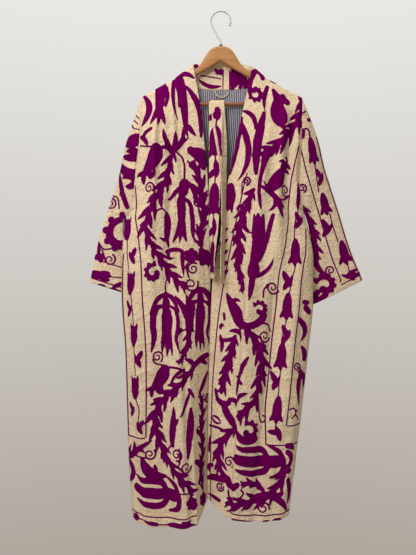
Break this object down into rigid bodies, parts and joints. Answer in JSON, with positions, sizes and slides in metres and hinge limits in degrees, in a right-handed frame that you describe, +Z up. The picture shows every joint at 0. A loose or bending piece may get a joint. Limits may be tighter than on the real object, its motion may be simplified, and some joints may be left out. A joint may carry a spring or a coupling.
{
  "type": "suzani kimono jacket on a wooden hanger",
  "caption": "Long open-fronted cotton kimono jacket with wide sleeves, a shawl band, a striped lining and a loose belt, hanging on a wooden hanger.",
  "frame": {"origin": "underside of the hook's crown, where a rail or a peg carries the hanger", "axes": "+Z up, +Y to the garment's back, +X to the right as seen from the front"},
  "size_m": [0.731, 0.1082, 1.3493],
  "materials": {
    "suzani_cotton": "cream slubby cotton, matt",
    "embroidery_thread": "magenta-purple chain stitch with a soft sheen",
    "lining_stripe": "thin cotton with narrow white and navy stripes",
    "hanger_wood": "clear satin varnish",
    "hook_steel": "bright plated wire"
  },
  "bodies": {
    "root": {"front_right": "suzani_cotton", "front_left": "suzani_cotton", "collar_right": "suzani_cotton", "collar_left": "suzani_cotton", "sleeve_right": "suzani_cotton", "sleeve_left": "suzani_cotton", "back": "suzani_cotton", "lining_back": "lining_stripe", "belt": "suzani_cotton", "hanging_loop": "suzani_cotton", "hanger_wood": "hanger_wood", "hanger_bar": "hanger_wood", "hanger_hook": "hook_steel"}
  },
  "joints": []
}
